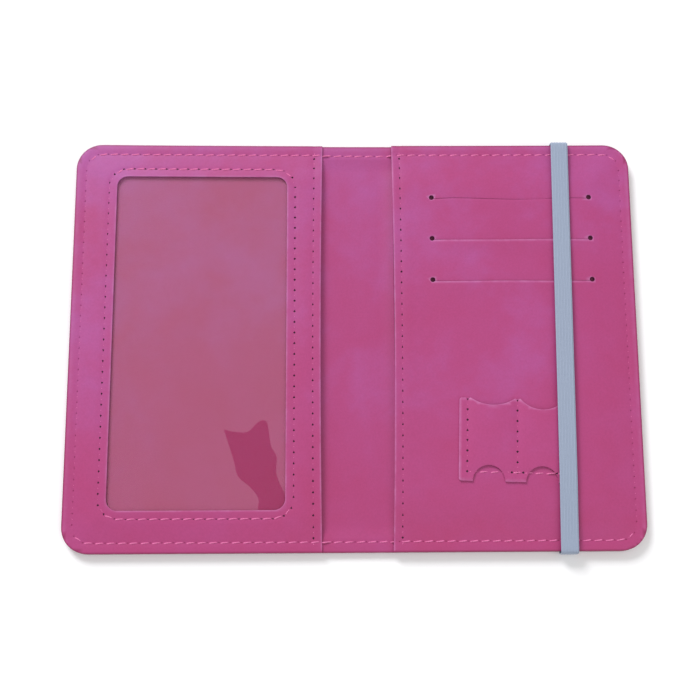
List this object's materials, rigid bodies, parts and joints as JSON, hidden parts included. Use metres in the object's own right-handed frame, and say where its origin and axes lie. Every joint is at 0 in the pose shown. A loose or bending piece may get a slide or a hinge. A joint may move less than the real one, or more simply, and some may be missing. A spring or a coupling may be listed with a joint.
{
  "type": "passport holder",
  "caption": "Folding passport holder, lying open, with a clear window in the front pocket, card slits and a two-bay patch pocket on the back, and an elastic closing band.",
  "frame": {"origin": "middle of the underside of the open holder, on the surface that it lies on", "axes": "+X from the front cover to the back cover, +Y up the page to the top edge, +Z out of the inside face"},
  "size_m": [0.196, 0.146, 0.0071],
  "materials": {
    "outer_leather": "smooth coated leather, matt",
    "lining_leather": "smooth coated leather, matt",
    "pocket_leather": "smooth coated leather, matt",
    "clear_film": "clear soft film",
    "board": "plain",
    "glue_tape": "plain",
    "cloth": "plain weave",
    "elastic": "ribbed woven elastic",
    "thread": "twisted polyester"
  },
  "bodies": {
    "back_cover": {"back_outer_skin": "outer_leather", "back_board": "board", "back_lining": "lining_leather", "passport_seam_tape": "glue_tape", "card_liner": "cloth", "card_seam_tape": "glue_tape", "back_pocket_panel": "pocket_leather", "small_pocket_tape": "glue_tape", "small_pocket_patch": "pocket_leather", "small_pocket_seam": "thread", "back_border_seam": "thread", "back_mouth_seam": "thread", "elastic_tail_top": "elastic", "elastic_tail_bottom": "elastic"},
    "spine": {"spine_outer_skin": "outer_leather", "spine_lining": "lining_leather", "spine_seam": "thread"},
    "front_cover": {"front_outer_skin": "outer_leather", "front_board": "board", "front_lining": "lining_leather", "front_seam_tape": "glue_tape", "window_film": "clear_film", "front_pocket_panel": "pocket_leather", "front_border_seam": "thread", "window_seam": "thread", "front_mouth_seam": "thread"},
    "elastic_band": {"elastic_band": "elastic", "elastic_leg_top": "elastic", "elastic_leg_bottom": "elastic"}
  },
  "joints": [
    {"name": "spine_fold", "type": "hinge", "parent": "back_cover", "child": "spine", "pos_m": [0.0047, 0, 0.0014], "axis": [0, 1, 0], "range_deg": [0, 90]},
    {"name": "cover_fold", "type": "hinge", "parent": "spine", "child": "front_cover", "pos_m": [-0.0047, 0, 0.0014], "axis": [0, 1, 0], "range_deg": [0, 90]},
    {"name": "band_lift", "type": "slide", "parent": "back_cover", "child": "elastic_band", "axis": [0, 0, 1], "range_m": [0, 0.0078], "stiffness_N_per_m": 60, "deforming": ["elastic_leg_top", "elastic_leg_bottom"]}
  ],
  "couplings": [
    {"joint": "cover_fold", "follows": "spine_fold", "ratio": 1}
  ]
}
